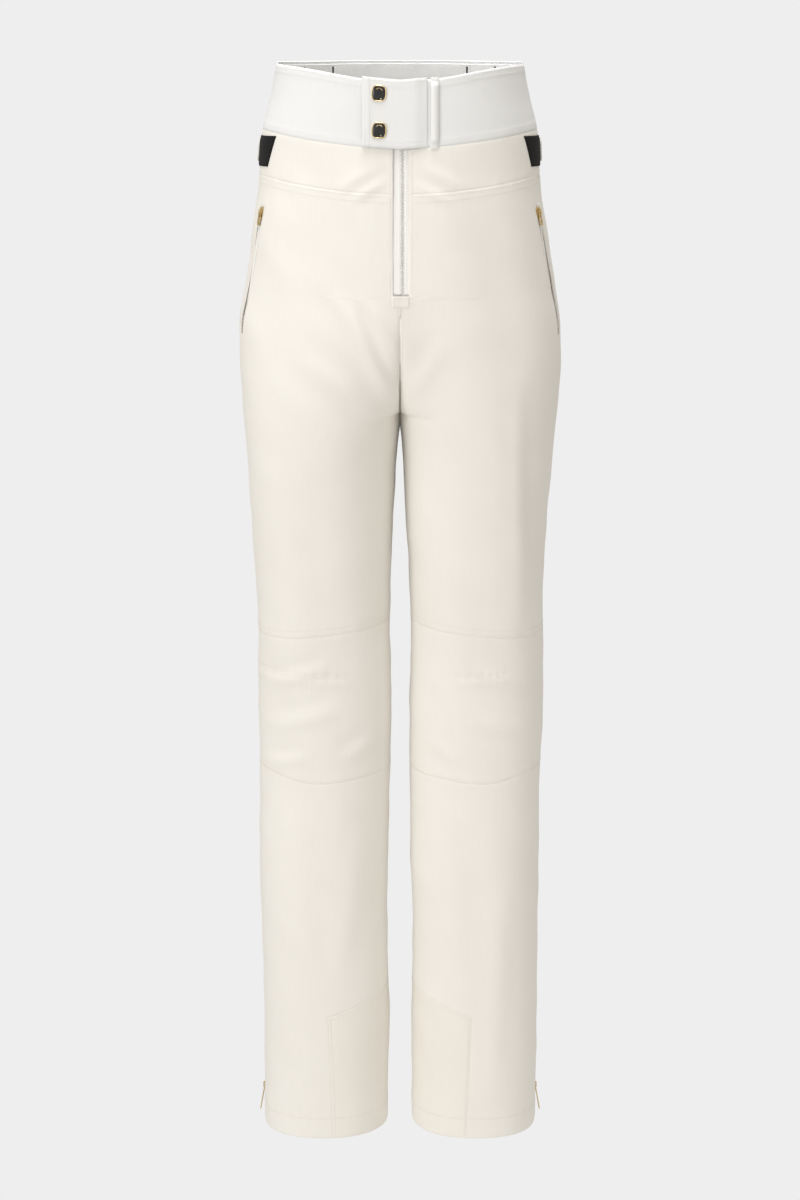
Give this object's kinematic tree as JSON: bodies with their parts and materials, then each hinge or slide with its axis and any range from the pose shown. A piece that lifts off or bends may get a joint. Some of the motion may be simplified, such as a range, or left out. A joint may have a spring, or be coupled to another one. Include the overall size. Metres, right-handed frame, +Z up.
{
  "type": "ski pants",
  "caption": "High-waisted ski pants with a snapped waist tab, zipped fly, slanted zip pockets, side adjusters, shaped knees, ankle guards and hem zips.",
  "frame": {"origin": "centre line of the waist opening, 5 mm under the sides of the waistband's seam", "axes": "+Z up through the waist opening, front towards -Y, the wearer's left towards +X"},
  "size_m": [0.3244, 0.2306, 1.119],
  "materials": {
    "shell_fabric": "matte stretch softshell twill",
    "guard_fabric": "tight matte guard cloth",
    "waistband_fabric": "smooth matte stretch cloth",
    "lining_fabric": "light knitted lining",
    "black_hook_tape": "hook and loop tape",
    "zip_tape": "woven tape",
    "zip_teeth": "moulded teeth",
    "gold_metal": "polished gold plating",
    "black_enamel": "gloss enamel"
  },
  "bodies": {
    "pants": {"front_yoke_left": "shell_fabric", "front_yoke_right": "shell_fabric", "back_yoke": "shell_fabric", "front_panel_left": "shell_fabric", "front_panel_right": "shell_fabric", "back_panel_left": "shell_fabric", "back_panel_right": "shell_fabric", "knee_panel_left": "shell_fabric", "knee_panel_right": "shell_fabric", "back_knee_left": "shell_fabric", "back_knee_right": "shell_fabric", "crotch_gusset": "shell_fabric", "waistband_front_left": "waistband_fabric", "waistband_front_right": "waistband_fabric", "waistband_back": "waistband_fabric", "waistband_lining": "lining_fabric", "belt_loops": "waistband_fabric", "snap_studs": "gold_metal", "adjuster_patch_left": "black_hook_tape", "adjuster_patch_right": "black_hook_tape", "fly_tapes": "zip_tape", "fly_teeth": "zip_teeth", "fly_guard": "lining_fabric", "fly_end_patch": "shell_fabric", "pocket_tapes_left": "zip_tape", "pocket_tapes_right": "zip_tape", "pocket_teeth_left": "zip_teeth", "pocket_teeth_right": "zip_teeth", "pocket_bag_left": "lining_fabric", "pocket_bag_right": "lining_fabric"},
    "waist_tab": {"waist_tab": "waistband_fabric", "snap_caps": "gold_metal", "snap_faces": "black_enamel", "snap_sockets": "gold_metal"},
    "fly_slider": {"fly_slider": "gold_metal", "fly_pull": "gold_metal"},
    "lower_leg_left": {"shin_panel_left": "shell_fabric", "calf_panel_left": "shell_fabric", "ankle_guard_left": "guard_fabric", "hem_tapes_left": "zip_tape", "hem_teeth_left": "zip_teeth", "gaiter_left": "lining_fabric"},
    "adjuster_left": {"adjuster_strap_left": "shell_fabric"},
    "pocket_slider_left": {"pocket_slider_left": "gold_metal"},
    "pocket_pull_left": {"pocket_pull_left": "gold_metal"},
    "hem_slider_left": {"hem_slider_left": "gold_metal"},
    "hem_pull_left": {"hem_pull_left": "gold_metal"},
    "lower_leg_right": {"shin_panel_right": "shell_fabric", "calf_panel_right": "shell_fabric", "ankle_guard_right": "guard_fabric", "hem_tapes_right": "zip_tape", "hem_teeth_right": "zip_teeth", "gaiter_right": "lining_fabric"},
    "adjuster_right": {"adjuster_strap_right": "shell_fabric"},
    "pocket_slider_right": {"pocket_slider_right": "gold_metal"},
    "pocket_pull_right": {"pocket_pull_right": "gold_metal"},
    "hem_slider_right": {"hem_slider_right": "gold_metal"},
    "hem_pull_right": {"hem_pull_right": "gold_metal"}
  },
  "joints": [
    {"name": "knee_left", "type": "hinge", "parent": "pants", "child": "lower_leg_left", "pos_m": [0.0795, 0, -0.578], "axis": [1, 0, 0], "range_deg": [0, 75], "deforming": ["knee_panel_left", "back_knee_left"]},
    {"name": "knee_right", "type": "hinge", "parent": "pants", "child": "lower_leg_right", "pos_m": [-0.0795, 0, -0.578], "axis": [1, 0, 0], "range_deg": [0, 75], "deforming": ["knee_panel_right", "back_knee_right"]},
    {"name": "waist_tab_fold", "type": "hinge", "parent": "pants", "child": "waist_tab", "pos_m": [0.0273, -0.09831, 0.02], "axis": [0, 0.0698, 0.9976], "range_deg": [0, 120]},
    {"name": "adjuster_left_peel", "type": "hinge", "parent": "pants", "child": "adjuster_left", "pos_m": [0.1246, 0.0625, -0.015], "axis": [0, 0, 1], "range_deg": [0, 90]},
    {"name": "adjuster_right_peel", "type": "hinge", "parent": "pants", "child": "adjuster_right", "pos_m": [-0.1246, 0.0625, -0.015], "axis": [0, 0, -1], "range_deg": [0, 90]},
    {"name": "fly_zip", "type": "slide", "parent": "pants", "child": "fly_slider", "axis": [0, -0.0698, -0.9976], "range_m": [0, 0.16], "deforming": ["fly_teeth"]},
    {"name": "pocket_zip_left", "type": "slide", "parent": "pants", "child": "pocket_slider_left", "axis": [0.1569, 0.0991, -0.9826], "range_m": [0, 0.1], "deforming": ["pocket_teeth_left"]},
    {"name": "pocket_pull_left_swing", "type": "hinge", "parent": "pocket_slider_left", "child": "pocket_pull_left", "pos_m": [0.13887, -0.04113, -0.07597], "axis": [-0.4062, -0.9004, -0.1556], "range_deg": [0, 170]},
    {"name": "pocket_zip_right", "type": "slide", "parent": "pants", "child": "pocket_slider_right", "axis": [-0.1569, 0.0991, -0.9826], "range_m": [0, 0.1], "deforming": ["pocket_teeth_right"]},
    {"name": "pocket_pull_right_swing", "type": "hinge", "parent": "pocket_slider_right", "child": "pocket_pull_right", "pos_m": [-0.13887, -0.04113, -0.07597], "axis": [-0.4062, 0.9004, 0.1556], "range_deg": [0, 170]},
    {"name": "hem_zip_left", "type": "slide", "parent": "lower_leg_left", "child": "hem_slider_left", "axis": [0, 0, 1], "range_m": [0, 0.165], "deforming": ["hem_teeth_left"]},
    {"name": "hem_pull_left_swing", "type": "hinge", "parent": "hem_slider_left", "child": "hem_pull_left", "pos_m": [0.1461, 0, -1.012], "axis": [0, -1, 0], "range_deg": [-8, 155]},
    {"name": "hem_zip_right", "type": "slide", "parent": "lower_leg_right", "child": "hem_slider_right", "axis": [0, 0, 1], "range_m": [0, 0.165], "deforming": ["hem_teeth_right"]},
    {"name": "hem_pull_right_swing", "type": "hinge", "parent": "hem_slider_right", "child": "hem_pull_right", "pos_m": [-0.1461, 0, -1.012], "axis": [0, 1, 0], "range_deg": [-8, 155]}
  ]
}
